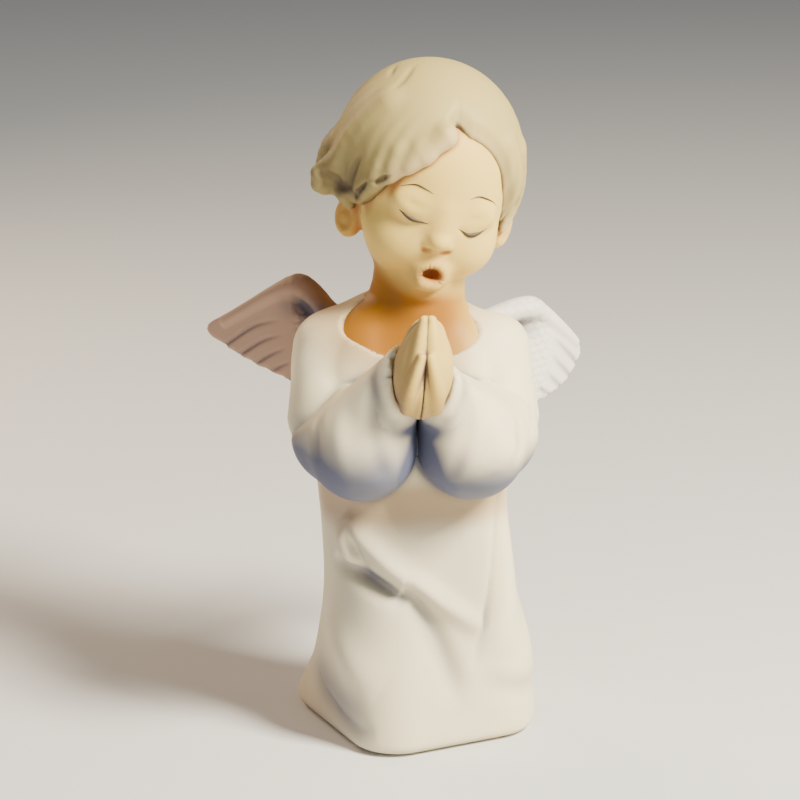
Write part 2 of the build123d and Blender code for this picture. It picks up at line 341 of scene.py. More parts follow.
def robe_form(p):
    """The robe casting: torso, sleeves, folds, cuffs, neckline and underside."""
    torso = robe_torso(p)
    arms = soft_least(sleeve(p, -1), sleeve(p, 1), 0.5)
    shoulder = ramp(p[:, 1], -9, -3) * ramp(p[:, 2], 68, 80)
    field = soft_least(torso + robe_folds(p), arms, 0.8 + 5.0 * shoulder) + sleeve_folds(p)
    bared = ramp(-neckline(p), -0.5, 0.5) * ramp(-torso, -6.0, -2.0) * ramp(p[:, 1], 8.0, 5.0)
    field = field + NECKLINE_STEP * bared
    room = from_hands(p)
    rolled_cuff = 0.45 * np.exp(-(((room - 1.4) / 1.3) ** 2))
    return soft_most(field - rolled_cuff, CUFF_GAP - room, 0.9)


# ---------------------------------------------------------------- head, neck and chest

HEAD_CENTRE = np.array((3.4, 0.6, 119.8))
HEAD_TURN = turned((15.0, 11.0, 9.0))


def in_head(p):
    """Places in the head's own frame, where -Y is where the face looks."""
    return (p - HEAD_CENTRE) @ HEAD_TURN


def out_of_head(q):
    """Places in the head's own frame, as they lie in the figurine."""
    return np.asarray(q, float) @ HEAD_TURN.T + HEAD_CENTRE


EYES = {-1: (-4.9, -14.0, -3.6), 1: (8.0, -13.2, -5.0)}
NOSE_TIP = (1.6, -17.3, -10.2)
MOUTH_OPENING = (1.9, -16.4, -17.8)
LOWER_LIP = ((0.5, -16.3, -20.0), (3.1, -16.1, -20.1))
BROWS = {
    -1: ((-8.3, -14.7, -0.6), (-5.7, -15.8, 0.5), (-3.7, -16.5, 0.2), (-2.0, -16.8, -0.4)),
    1: ((5.5, -16.1, -0.7), (7.4, -15.3, -0.2), (9.9, -13.8, -1.3), (11.9, -12.2, -3.0)),
}
LIDS = {
    -1: ((-7.6, -16.0, -5.5), (-5.9, -17.1, -6.5), (-4.2, -17.4, -6.9), (-1.7, -17.4, -6.8)),
    1: ((5.1, -16.9, -7.1), (7.2, -16.6, -8.2), (9.2, -16.3, -8.0), (11.2, -15.2, -7.1)),
}
EARS = {-1: (-12.6, 0.2, -15.6), 1: (17.6, -0.2, -13.2)}


def face(q):
    """The head without hair, in the head's own frame."""
    field = oval(q, (0.6, 0.6, 0), (16.1, 17.4, 17.2))
    jaw = oval(q, (1.8, -4.2, -10.2), (13.3, 12.6, 15.6))
    field = soft_least(field, jaw, 4.0)
    for side in (-1, 1):
        cheek = oval(q, (1.7 + side * 6.7, -9.8, -12.8), (6.1, 5.9, 6.3))
        field = soft_least(field, cheek, 3.0)
        lid = oval(q, EYES[side], (4.2, 2.55, 3.4))
        field = soft_least(field, lid, 1.6)
    field = soft_least(field, oval(q, (1.6, -12.6, -22.4), (4.4, 3.5, 3.0)), 3.0)
    field = soft_least(field, oval(q, (2.0, -13.5, -18.0), (4.6, 3.3, 3.8)), 2.4)
    bridge = bar(q, (1.7, -15.2, -4.0), (1.7, -15.9, -8.8), 1.2, 1.5)
    field = soft_least(field, bridge, 3.0)
    field = soft_least(field, oval(q, NOSE_TIP, (1.8, 1.4, 1.45)), 1.4)
    for side in (-1, 1):
        nostril_wing = oval(q, (NOSE_TIP[0] + side * 1.8, -16.1, -11.1), (1.15, 1.15, 1.0))
        field = soft_least(field, nostril_wing, 0.9)
    return field


def ear(q, side):
    """One ear, a flat shell with a hollow, on its root."""
    centre = np.array(EARS[side])
    shell = oval(q, centre, (2.6, 3.4, 4.5), (0, 0, -side * 30))
    hollow = oval(q, centre + (side * 1.9, -2.0, 0.4), (1.5, 2.2, 3.0), (0, 0, -side * 30))
    root = bar(q, centre, centre * (0.74, 1, 1) + (0, 2.0, 0), 1.8, 3.4)
    return soft_least(soft_most(shell, -hollow, 0.8), root, 1.0)


def mouth(field, q):
    """The head's form with its open mouth and lips."""
    rim = oval(q, np.add(MOUTH_OPENING, (0, 0.7, 0.1)), (3.0, 1.9, 2.9))
    field = soft_least(field, rim, 1.8)
    opening = oval(q, MOUTH_OPENING, (1.75, 2.4, 1.5))
    field = soft_most(field, -opening, 1.2)
    return soft_least(field, bar(q, *LOWER_LIP, 0.95, 0.9), 1.1)


def face_marks(q):
    """Lid creases, nostrils and the dip under the lip, as depths."""
    pressed = np.zeros(len(q))
    for side in (-1, 1):
        pressed += line_mark(q, LIDS[side], 0.55, (0.3, 0.75, 0.75, 0.3))
        crease = np.array(LIDS[side]) + (0, 1.4, 3.4)
        pressed += line_mark(q, crease, 1.1, (0, 0.3, 0.3, 0))
        nostril = np.add(NOSE_TIP, (side * 1.7, 0.9, -2.2))
        pressed += line_mark(q, (nostril, nostril + (side * 0.5, 0.3, 0)), 0.6, (0.7, 0.7))
        corner = np.add(MOUTH_OPENING, (side * 4.6, 0.4, -0.6))
        pressed += line_mark(q, (corner, corner + (side * 0.4, 0.6, -2.0)), 1.3, (0.4, 0.3))
    under_lip = ((-0.8, -15.6, -21.8), (1.8, -15.8, -22.4), (4.4, -15.2, -21.8))
    return pressed + line_mark(q, under_lip, 1.2, (0.1, 0.5, 0.1))


def neck(p):
    return bar(p, (0.3, 2.4, 78.0), (1.9, 1.0, 104.0), 10.2, 8.6)


def chest(p):
    """The bare chest inside the neckline, a little below the robe's surface."""
    torso = robe_torso(p)
    slab = np.maximum(torso + 0.4, -(torso + 5.0))
    return np.maximum.reduce([slab, neckline(p) - 2.0, p[:, 1] - 7.0])


def skin_form(p):
    """Head, neck and chest as one casting."""
    q = in_head(p)
    head = mouth(face(q) + face_marks(q), q)
    for side in (-1, 1):
        head = soft_least(head, ear(q, side), 1.0)
    field = soft_least(head, neck(p), 1.6)
    return soft_least(field, chest(p), 3.0)


# ---------------------------------------------------------------- hair

# The hairline round the head: degrees from the front (positive to the figurine's left), height
HAIRLINE = np.array([
    (-180, -17.0), (-140, -16.0), (-112, -12.5), (-96, -9.0), (-84, -9.0), (-70, -11.0), (-58, -9.3),
    (-50, -6.9), (-41, -2.7), (-32, 1.7), (-25, 3.7), (-19, 5.6), (-13, 7.5), (-9, 9.2), (-6, 10.6),
    (-1, 11.7), (7, 11.2), (13, 10.4), (23, 9.4), (33, 7.6), (42, 4.4), (48, 0.6), (53, -3.0), (60, -8.0),
    (74, -11.0), (92, -9.0), (112, -13.0), (140, -16.0), (180, -17.0),
])
# Locks: points in the head's frame, and radii
LOCKS = [
    (((-10.0, -4.0, 10.0), (-14.8, -3.4, 3.0), (-17.8, -2.4, -3.0), (-21.0, -1.6, -6.6)), (4.8, 3.9, 2.9, 1.8)),
    (((-12.6, 0.0, 3.0), (-16.2, 0.4, -4.0), (-18.6, -0.4, -8.6), (-20.6, -1.4, -9.0)), (4.8, 3.6, 2.5, 1.6)),
    (((-14.6, -3.4, -5.0), (-15.4, -2.8, -9.0), (-13.6, -3.8, -12.0)), (3.0, 2.4, 0.8)),
    (((-9.0, -12.0, 5.0), (-12.4, -11.4, -0.4), (-14.0, -9.6, -5.0), (-13.9, -8.6, -9.0)), (3.2, 2.6, 1.9, 0.5)),
    (((-5.6, -13.8, 6.6), (-9.4, -13.4, 2.4), (-12.2, -12.2, -1.4), (-13.6, -10.8, -5.0)), (3.0, 2.3, 1.6, 0.4)),
    (((-2.0, -13.8, 10.6), (-5.6, -14.6, 6.6), (-9.2, -14.2, 3.2), (-12.2, -12.8, 0.6)), (2.6, 2.0, 1.5, 0.4)),
    (((11.0, -9.0, 8.4), (14.4, -8.4, 2.4), (15.6, -6.8, -3.4), (15.0, -6.6, -8.4)), (3.0, 2.5, 1.9, 0.6)),
    (((14.0, -3.0, 5.0), (16.9, -2.4, -2.0), (17.5, -2.2, -8.0), (17.2, -3.2, -13.0)), (3.8, 2.8, 2.1, 0.9)),
    (((8.0, 12.0, -2.0), (9.6, 14.0, -9.0), (10.0, 13.6, -14.6), (11.4, 14.4, -17.6)), (4.6, 3.8, 2.6, 1.0)),
    (((0.0, 14.0, -3.0), (0.0, 15.8, -10.0), (0.6, 14.4, -15.6), (1.6, 14.6, -18.8)), (4.8, 4.0, 2.8, 1.0)),
    (((-8.0, 12.0, -2.0), (-9.6, 14.0, -8.0), (-11.0, 13.4, -13.6), (-13.4, 14.0, -16.4)), (4.6, 3.8, 2.8, 1.0)),
    (((-13.0, 6.0, 0.0), (-16.0, 7.2, -5.0), (-17.6, 7.2, -9.6), (-19.4, 7.8, -11.2)), (4.6, 4.0, 2.6, 1.0)),
    (((13.0, 7.0, 0.0), (15.4, 8.0, -6.0), (15.8, 8.0, -11.6), (17.0, 8.6, -15.0)), (4.4, 3.8, 2.6, 1.0)),
]
# Partings pressed between the locks
PARTINGS = [
    (((-7.3, 1.6, 17.4), (-9.3, -1.9, 16.4), (-11.5, -4.6, 14.4)), 0.6, (0.1, 0.55, 0.1)),
    (((-10.2, 5.0, 15.6), (-10.9, 3.0, 15.2), (-11.4, 0.6, 14.8)), 0.6, (0.1, 0.4, 0.1)),
    (
        ((-21.6, -3.4, -5.6), (-19.4, -4.2, -6.2), (-17.2, -4.8, -7.2), (-15.6, -6.2, -6.0)),
        1.0, (0.8, 2.1, 2.3, 0.9),
    ),
    (((-15.2, -9.6, 3.6), (-16.0, -8.6, -0.6), (-16.2, -7.8, -4.4), (-15.0, -7.6, -8.4)), 0.9, (0, 0.8, 1.1, 0.9)),
    (
        ((-11.6, -13.6, 3.4), (-13.2, -12.6, -0.6), (-14.4, -11.0, -3.8), (-14.8, -9.6, -6.4)),
        0.75, (0, 0.7, 1.0, 0.9),
    ),
    (((-8.2, -15.6, 5.0), (-10.6, -14.8, 1.8), (-12.6, -13.4, -1.0)), 0.6, (0, 0.55, 0.8)),
    (((0.2, -15.6, 11.4), (1.4, -13.0, 14.6), (2.6, -8.0, 17.8)), 0.7, (0.1, 0.25, 0)),
    (((12.4, -13.2, 6.6), (14.0, -12.4, 2.0), (15.2, -10.8, -2.2), (15.6, -9.4, -6.0)), 0.65, (0, 0.6, 0.9, 0.8)),
    (((16.6, -6.6, 6.4), (18.2, -5.0, 0.0), (18.4, -4.2, -6.0)), 0.6, (0, 0.55, 0.6)),
]
STRANDS = 34


def strand_ripple(q):
    """Fine combed strands, that run from the crown down and outwards."""
    crown = np.array((2.5, -3.0, 18.0))
    away = q - crown
    angle = np.arctan2(away[:, 0], -away[:, 1])
    down = -away[:, 2]
    wave = np.sin(STRANDS * angle + 1.6 * np.sin(down * 0.16) + 0.9 * np.sin(5 * angle))
    fade = ramp(down, 2.0, 16.0)
    return 0.15 * fade * wave * (0.6 + 0.4 * np.sin(7 * angle + 1.0))


def below_hairline(q):
    """How far places are below the hairline, in millimetres."""
    angle = np.degrees(np.arctan2(q[:, 0], -q[:, 1]))
    return flow(angle, HAIRLINE[:, 0], HAIRLINE[:, 1]) - q[:, 2]


def hair_form(p):
    """The hair as one casting over the skull, which dips into the head below the hairline."""
    q = in_head(p)
    cap = oval(q, (-0.2, 0.4, 0.0), (18.6, 19.3, 19.0))
    below = below_hairline(q) - 0.7
    cap = cap + 1.5 * ramp(below, -6.0, 0.0) + 3.4 * ramp(below, -2.0, 2.2)
    for points, radii in LOCKS:
        cap = soft_least(cap, rope(q, points, radii), 1.2)
    for points, width, depths in PARTINGS:
        cap = cap + line_mark(q, points, width, depths)
    return cap + strand_ripple(q)


# ---------------------------------------------------------------- hands

# The two palms' common line: its place at a height, and how much it leans with height
HAND_MIDDLE = (0.55, 83.0, 0.06)
# Down a hand: height, half its width, half its depth, middle of its depth
HAND_SECTIONS = np.array([
    (73.6, 1.6, 2.2, -26.2), (75.6, 3.4, 3.6, -26.0), (77.4, 4.6, 4.6, -26.0), (79.4, 5.3, 5.1, -26.4),
    (83.4, 5.9, 5.2, -26.8), (87.4, 5.2, 4.6, -27.2), (90.0, 4.2, 4.0, -27.5), (92.8, 2.9, 3.1, -27.7),
    (94.6, 1.3, 2.2, -27.8),
])

INDEX_FINGER = (
    ((2.7, -29.2, 79.0), (1.9, -30.4, 84.6), (1.15, -30.5, 90.0), (0.7, -29.7, 94.0)), (1.7, 1.7, 1.45, 1.05),
)
THUMB = (((2.6, -28.2, 76.6), (2.5, -30.8, 80.4), (1.7, -32.1, 84.4), (0.85, -32.3, 87.4)), (1.7, 1.6, 1.3, 1.0))
# The groove between two fingers, from which each one's depth and top are set
FINGER_GROOVE = ((6.4, 1.6, 78.0), (6.0, 0.8, 84.0), (4.4, 0.0, 90.0), (1.6, -0.4, 0.0))
FINGER_ENDS = ((-28.2, 93.4), (-26.0, 94.4), (-24.0, 93.6))
PALM_GAP = 0.04


def hand_form(p, side):
    """One hand, its palm on the line between the two."""
    x, z, lean = HAND_MIDDLE
    q = (p - np.stack([x + lean * (p[:, 2] - z), 0 * p[:, 0], 0 * p[:, 0]], axis=1)) * (side, 1, 1)
    heights = HAND_SECTIONS[:, 0]
    wide, deep, middle = (flow(q[:, 2], heights, column) for column in HAND_SECTIONS.T[1:])
    ring = np.hypot(q[:, 0] / wide, (q[:, 1] - middle) / deep)
    body = (ring - 1) * np.minimum(wide, deep)
    ends = np.maximum(HAND_SECTIONS[0, 0] - q[:, 2], q[:, 2] - HAND_SECTIONS[-1, 0])
    field = soft_most(body, ends, 2.2)
    field = soft_least(field, rope(q, *INDEX_FINGER), 0.7)
    for depth, reach in FINGER_ENDS:
        groove = np.add(FINGER_GROOVE, (0, depth, 0))
        groove[-1, 2] = reach
        field = field + line_mark(q, groove, 0.55, (0.1, 0.55, 0.6, 0.4))
    field = soft_least(field, rope(q, *THUMB), 0.5)
    return soft_most(field, PALM_GAP - 0.2 * ramp(p[:, 2], 84, 87) - q[:, 0], 0.25)


# ---------------------------------------------------------------- wings

# Each wing curves back round an upright bend: the sweep at the root, and each side's radius of bend
WING_SWEEP = math.radians(15.0)
WING_BEND = {-1: 90.0, 1: 45.0}
WING_ROOT = (9.0, 10.8, 80.2)
# The outline, as reach from the root and height above it, round from the root's top
WING_OUTLINES = {
    -1: (
        (-4, 3.0), (0, 4.6), (8.1, 6.6), (11.2, 10.6), (13.9, 12.2), (16.6, 11.2), (24.0, 6.2), (32.0, 1.6),
        (35.4, -0.4), (36.0, -2.0), (34.6, -3.4), (32.0, -4.2), (31.2, -4.9), (28.6, -5.7), (27.8, -6.4),
        (24.8, -7.0), (24.0, -7.8), (21.2, -8.2), (20.4, -8.9), (17.4, -9.4), (16.4, -10.2), (12.6, -10.8),
        (8.0, -11.0), (0, -8.6), (-4, -7.0),
    ),
    1: (
        (-4, 2.0), (0, 3.0), (6.6, 4.4), (12.4, 5.8), (17.4, 6.2), (20.6, 5.2), (28.0, -0.8), (34.8, -6.2),
        (36.4, -8.6), (36.2, -10.2), (35.0, -10.9), (34.2, -12.0), (32.0, -12.8), (31.0, -13.9), (28.6, -14.4),
        (27.4, -15.3), (24.8, -15.4), (23.6, -16.2), (20.4, -16.4), (16.0, -16.9), (10.0, -16.4), (4.0, -14.4),
        (0, -9.0), (-4, -7.0),
    ),
}
# The rolled leading edge, and the hollow under it
WING_ROLLS = {
    -1: ((2.0, 1.4), (7.6, 4.4), (11.2, 8.4), (14.2, 9.8), (20.0, 7.6), (31.0, 0.6)),
    1: ((1.0, 0.2), (7.0, 1.6), (12.4, 3.2), (17.4, 3.6), (22.0, 1.6), (33.6, -6.6)),
}
WING_ROLL_RADII = (2.9, 2.8, 2.6, 2.4, 1.5, 0.9)
WING_HOLLOWS = {
    -1: ((7.0, -0.6), (10.0, 3.4), (12.6, 6.0), (15.4, 6.0)),
    1: ((6.0, -2.2), (9.6, -0.7), (13.6, 0.6), (17.6, 0.4)),
}
# Grooves between the long feathers
WING_GROOVES = {
    -1: (
        ((17.6, 2.8), (24.0, 0.6), (31.4, -4.6)),
        ((17.0, -0.2), (22.0, -2.2), (27.9, -6.2)),
        ((16.4, -3.0), (20.0, -4.8), (24.1, -7.6)),
        ((15.2, -5.6), (18.0, -7.2), (20.5, -8.7)),
        ((13.0, -7.6), (15.0, -9.0), (16.6, -10.2)),
    ),
    1: (
        ((24.0, -3.6), (28.0, -6.6), (34.6, -11.6)),
        ((23.4, -7.0), (26.6, -9.8), (31.4, -13.6)),
        ((21.8, -10.2), (24.4, -12.6), (27.6, -15.1)),
        ((19.0, -12.6), (21.0, -14.4), (23.8, -16.0)),
    ),
}
# Where the small feathers end, and their size
WING_COVERTS = {-1: (15.0, 2.6), 1: (23.0, 2.3)}
# A small feather's row height, end radius and line width, as shares of its size
ROW_STEP, SCALLOP_RADIUS, SCALLOP_LINE = 0.72, 0.52, 0.11


def in_wing(p, side):
    """Places in the wing's own frame: reach along its bend, height, and through its thickness."""
    sweep, radius = WING_SWEEP, WING_BEND[side]
    q = (p - np.array(WING_ROOT) * (side, 1, 1)) * (side, 1, 1)
    along = q[:, 0] * math.cos(sweep) + q[:, 1] * math.sin(sweep)
    back = q[:, 1] * math.cos(sweep) - q[:, 0] * math.sin(sweep)
    reach = np.arctan2(along, radius - back) * radius
    return np.column_stack([reach, q[:, 2], radius - np.hypot(along, radius - back)])


def scallops(places, size, limit):
    """Rows of small overlapping feathers, as the depth of the grooves round their ends."""
    rows = -places[:, 1] / (size * ROW_STEP)
    deep = np.zeros(len(places))
    for above in (0, 1):
        row = np.floor(rows) - above
        across = (places[:, 0] / size - 0.5 * (row % 2)) % 1 - 0.5
        radius = np.hypot(across, (rows - row) * ROW_STEP)
        deep = np.maximum(deep, np.exp(-(((radius - SCALLOP_RADIUS) / SCALLOP_LINE) ** 2)))
    return deep * ramp(places[:, 0], limit + 0.8, limit - 1.5)


def wing_roll(q, side):
    """The rolled leading edge, in the wing's own frame."""
    return rope(q, [(*point, -0.6) for point in WING_ROLLS[side]], WING_ROLL_RADII)


def wing_form(p, side):
    """One wing: a feathered plate under a rolled leading edge."""
    q = in_wing(p, side)
    flat = q[:, :2]
    outline = smooth_path(np.array(WING_OUTLINES[side]), 2)
    edge = outline_field(flat, outline)
    half = flow(q[:, 0], (0, 14, 36), (1.9, 1.5, 0.8))
    relief = np.zeros(len(p))
    for groove in WING_GROOVES[side]:
        relief += line_mark(flat, groove, 0.42, (0.0, 0.35, 0.5))
    limit, size = WING_COVERTS[side]
    relief += 0.2 * scallops(flat, size, limit)
    plate = soft_most(edge, np.abs(q[:, 2]) - half + relief, 0.9)
    field = soft_least(plate, wing_roll(q, side), 0.9)
    hollow = line_mark(flat, WING_HOLLOWS[side], 1.5, (0.3, 1.5, 1.5, 0.1))
    return field + hollow * ramp(q[:, 2], 0.3, -0.3)


# ---------------------------------------------------------------- meshing


def bead_skin(name, places, radii, voxel):
    """One even skin round a cloud of beads."""
    cloud = bpy.data.meshes.new("cloud")
    cloud.vertices.add(len(places))
    cloud.vertices.foreach_set("co", places.ravel())
    reach = cloud.attributes.new("reach", "FLOAT", "POINT")
    reach.data.foreach_set("value", radii.astype(np.float32))
    group = bpy.data.node_groups.new("beads", "GeometryNodeTree")
    for direction in ("INPUT", "OUTPUT"):
        group.interface.new_socket("Geometry", in_out=direction, socket_type="NodeSocketGeometry")
    entry = group.nodes.new("NodeGroupInput")
    leave = group.nodes.new("NodeGroupOutput")
    size = group.nodes.new("GeometryNodeInputNamedAttribute")
    size.inputs["Name"].default_value = "reach"
    points = group.nodes.new("GeometryNodeMeshToPoints")
    volume = group.nodes.new("GeometryNodePointsToVolume")
    volume.resolution_mode = "VOXEL_SIZE"
    volume.inputs["Voxel Size"].default_value = voxel
    skin = group.nodes.new("GeometryNodeVolumeToMesh")
    group.links.new(entry.outputs[0], points.inputs["Mesh"])
    group.links.new(points.outputs[0], volume.inputs["Points"])
    group.links.new(size.outputs["Attribute"], volume.inputs["Radius"])
    group.links.new(volume.outputs[0], skin.inputs["Volume"])
    group.links.new(skin.outputs[0], leave.inputs[0])
    holder = linked("holder", cloud)
    holder.modifiers.new("beads", "NODES").node_group = group
    mesh = finished(holder, name)
    bpy.data.node_groups.remove(group)
    return mesh


def at_points(mesh, name):
    """A vector for each of the mesh's points, as rows."""
    flat = np.empty(len(mesh.vertices) * 3)
    mesh.vertices.foreach_get(name, flat)
    return flat.reshape(-1, 3)


def coordinates(mesh):
    return at_points(mesh, "co")


def directions(mesh):
    return at_points(mesh, "normal")


def linked(name, data):
    """A new object in the scene."""
    item = bpy.data.objects.new(name, data)
    bpy.context.scene.collection.objects.link(item)
    return item


def finished(holder, name):
    """The mesh that a holder's curve or modifiers give, in place of the holder."""
    graph = bpy.context.evaluated_depsgraph_get()
    mesh = bpy.data.meshes.new_from_object(holder.evaluated_get(graph))
    bpy.data.objects.remove(holder)
    mesh.name = name
    return mesh


def set_coordinates(mesh, places):
    mesh.vertices.foreach_set("co", places.ravel())
    mesh.update()


PROBES = np.array([(1, -1, -1), (-1, -1, 1), (-1, 1, -1), (1, 1, 1)], float)


def slope(form, p, reach=0.08):
    """The form's gradient."""
    total = np.zeros_like(p)
    for probe in PROBES:
        total += probe * form(p + probe * reach)[:, None]
    return total / (4 * reach)


def pressed_on(form, p, rounds, longest):
    """Places moved onto the form's surface, each step no longer than longest."""
    for _ in range(rounds):
        gradient = slope(form, p)
        steep = np.maximum(np.sum(gradient**2, axis=1), 0.2)
        step = -(form(p) / steep)[:, None] * gradient
        size = np.linalg.norm(step, axis=1) + 1e-9
        p = p + step * np.minimum(1, longest / size)[:, None]
    return p


def eased(mesh, p, share, rounds=1):
    """Places moved a share of the way to the middle of their neighbours."""
    edges = np.empty(len(mesh.edges) * 2, int)
    mesh.edges.foreach_get("vertices", edges)
    ends = np.concatenate([edges[0::2], edges[1::2]])
    others = np.concatenate([edges[1::2], edges[0::2]])
    count = np.maximum(np.bincount(ends, minlength=len(p)), 1)[:, None]
    for _ in range(rounds):
        middle = np.stack([np.bincount(ends, p[others, axis], len(p)) for axis in range(3)], axis=1) / count
        p = p + share * (middle - p)
    return p


# Each casting's form, and the lowest and highest corner of the room it is looked for in
CASTINGS = {
    "robe": (robe_form, (-28, -34, -1), (30, 33, 93)),
    "head_and_chest": (skin_form, (-19, -23, 75), (27, 24, 141)),
    "hair": (hair_form, (-30, -22, 94), (30, 26, 143)),
    "right_hand": (lambda p: hand_form(p, -1), (-9, -36, 64), (2, -16, 96)),
    "left_hand": (lambda p: hand_form(p, 1), (-1, -36, 64), (10, -16, 96)),
    "right_wing": (lambda p: wing_form(p, -1), (-48, 5, 62), (-3, 36, 98)),
    "left_wing": (lambda p: wing_form(p, 1), (3, 5, 56), (46, 44, 92)),
}
# Reaches and weights of the probes that set the painted shade in recesses.
REACHES = ((0.8, 0.35), (2.0, 0.3), (4.5, 0.22), (9.0, 0.13))


def sculpt(name, voxel):
    """A casting's mesh, in millimetres: beads fill the form, and their skin is pressed onto it."""
    form, low, high = CASTINGS[name]
    step = voxel * 2.2
    axes = [np.arange(a, b, step) for a, b in zip(low, high)]
    places = np.stack(np.meshgrid(*axes, indexing="ij"), axis=-1).reshape(-1, 3)
    depth = -form(places)
    inside = depth > 0.25 * step
    places, depth = places[inside], depth[inside]
    rim = depth < 4 * step
    depth[rim] /= np.maximum(1, np.linalg.norm(slope(form, places[rim]), axis=1))
    mesh = bead_skin(name, places, np.minimum(depth, 1.3 * step), voxel)
    found = eased(mesh, coordinates(mesh), 0.5, 2)
    found = pressed_on(form, found, 2, voxel)
    found = pressed_on(form, eased(mesh, found, 0.5, 2), 1, voxel)
    found = pressed_on(form, eased(mesh, found, 0.4), 1, 0.4 * voxel)
    set_coordinates(mesh, found)
    return mesh


def add_mask(mesh, name, values):
    """Keeps a value from 0 to 1 at each point, for the material to read."""
    mask = mesh.attributes.new(name, "FLOAT", "POINT")
    mask.data.foreach_set("value", np.clip(values, 0, 1).astype(np.float32))


def nearest_casting(p):
    """The nearest of all castings."""
    field = np.full(len(p), 1e3)
    for form, low, high in CASTINGS.values():
        near = np.all((p > np.array(low) - 4) & (p < np.array(high) + 4), axis=1)
        field[near] = np.minimum(field[near], form(p[near]))
    return field


# How closed in a point is sets the painted shade in its recesses.
def closed_in(mesh):
    """How closed in each point is, from 0 in the open to 1 in a deep recess."""
    p, outwards = coordinates(mesh), directions(mesh)
    closed = np.zeros(len(p))
    for reach, weight in REACHES:
        closed += weight * np.clip(1 - nearest_casting(p + outwards * reach) / reach, 0, 1)
    return closed


def finish_casting(name, mesh, material, slot, *nodes):
    """Turns a sculpted mesh into the piece that stands for the given nodes."""
    mesh.transform(Matrix.Scale(MM, 4))
    mesh.shade_smooth()
    mesh.materials.clear()
    mesh.materials.append(material)
    piece = linked(name, mesh)
    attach(piece, BODY)
    if nodes:
        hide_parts(*nodes)
    return piece


def taper(count, thin, thick):
    """Radii that swell from thin ends to a thick middle."""
    return thin + (thick - thin) * np.sin(np.linspace(0, math.pi, count)) ** 1.5


def stroke_mesh(name, points, radii):
    """A fine tapering line of paint along points, as a closed tube, in millimetres."""
    curve = bpy.data.curves.new(name, "CURVE")
    curve.dimensions = "3D"
    curve.bevel_depth = 1.0
    curve.bevel_resolution = 2
    curve.use_fill_caps = True
    spline = curve.splines.new("POLY")
    path = smooth_path(np.column_stack([points, radii]), 2)
    spline.points.add(len(path) - 1)
    for point, (x, y, z, radius) in zip(spline.points, path):
        point.co = (x, y, z, 1)
        point.radius = radius
    return finished(linked("holder", curve), name)


# ---------------------------------------------------------------- shader maths


class Wire:
    """A socket's value in a material, that adds Math nodes as it is worked with."""

    def __init__(self, paint, socket):
        self.paint = paint
        self.socket = socket

    def _math(self, operation, *values):
        return self.paint.add("ShaderNodeMath", {"operation": operation}, *values)

    def __add__(self, other):
        return self._math("ADD", self, other)

    def __sub__(self, other):
        return self._math("SUBTRACT", self, other)

    def __mul__(self, other):
        return self._math("MULTIPLY", self, other)

    def __rsub__(self, other):
        return self._math("SUBTRACT", other, self)

    __radd__ = __add__
    __rmul__ = __mul__


class Paint:
    """A material under construction."""

    def __init__(self, name):
        self.material = bpy.data.materials.new(name)
        self.material.use_nodes = True
        self.tree = self.material.node_tree
        self.shader = self.tree.nodes["Principled BSDF"]
        self.places = self.add("ShaderNodeTexCoord", {}, output="Object")

    def add(self, kind, settings, *values, output=0, **named):
        """Adds a node with its settings, then its input values or links, and gives one output."""
        node = self.tree.nodes.new(kind)
        for key, value in settings.items():
            setattr(node, key, value)
        for key, value in [*enumerate(values), *named.items()]:
            if value is None:
                continue
            self.feed(node.inputs[key], value)
        return Wire(self, node.outputs[output])

    def feed(self, socket, value):
        """Links or sets a socket."""
        if isinstance(value, Wire):
            self.tree.links.new(value.socket, socket)
        else:
            socket.default_value = value

    def noise(self, scale, detail=2.0, roughness=0.5):
        return self.add(
            "ShaderNodeTexNoise", {}, self.places, None, scale, detail, roughness, output="Fac"
        )

    def attribute(self, name):
        return self.add("ShaderNodeAttribute", {"attribute_name": name}, output="Fac")

    def between(self, value, low, high):
        """A value turned into 0 below low, 1 above high, and smooth between."""
        settings = {"interpolation_type": "SMOOTHSTEP"}
        return self.add("ShaderNodeMapRange", settings, value, low, high, 0.0, 1.0, output="Result")

    def mix(self, share, a, b):
        """One colour blended into another."""
        a, b = (value if isinstance(value, Wire) else (*value[:3], 1) for value in (a, b))
        unused = (None,) * 5
        return self.add("ShaderNodeMix", {"data_type": "RGBA"}, share, *unused, a, b, output=2)

    def bump(self, height, strength, distance):
        return self.add("ShaderNodeBump", {}, Strength=strength, Distance=distance, Height=height)

    def set(self, name, value):
        self.feed(self.shader.inputs[name], value)


def bisque(name, colour, shade, warm, accent=(0, 0, 0)):
    """Matt tinted casting with a fine even grain: painted shade in its recesses, and where it is masked, painted
    shade, painted warm shade, the hair's root colour and the mouth's paint.
    """
    paint = Paint(name)
    cloud = paint.between(paint.noise(55.0, 3.0), 0.3, 0.8)
    tint = paint.mix(cloud * 0.2, colour, [c * 0.93 for c in colour])
    # The warm mask: painted warm shade, and on the hair the root colour where it fades into the skin.
    tint = paint.mix(paint.attribute("warm"), tint, warm)
    # The second mask: painted shade, and on the head the paint inside the mouth.
    tint = paint.mix(paint.attribute("accent"), tint, accent)
    # Painted shade in the recesses.
    tint = paint.mix(paint.between(paint.attribute("recess"), 0.10, 0.66) * 0.92, tint, shade)
    speck = paint.between(paint.noise(2600.0, 1.0), 0.66, 0.8)
    tint = paint.mix(speck * 0.06, tint, [c * 0.6 for c in shade])
    paint.set("Base Color", tint)
    paint.set("Roughness", paint.noise(420.0, 2.0) * 0.12 + 0.48)
    paint.set("Normal", paint.bump(paint.noise(3200.0, 3.0), 0.10, 0.0002))
    paint.set("Subsurface Weight", 0.12)
    paint.set("Subsurface Radius", (0.004, 0.0026, 0.0018))
    paint.set("Subsurface Scale", 1.0)
    paint.set("Specular IOR Level", 0.28)
    return paint.material


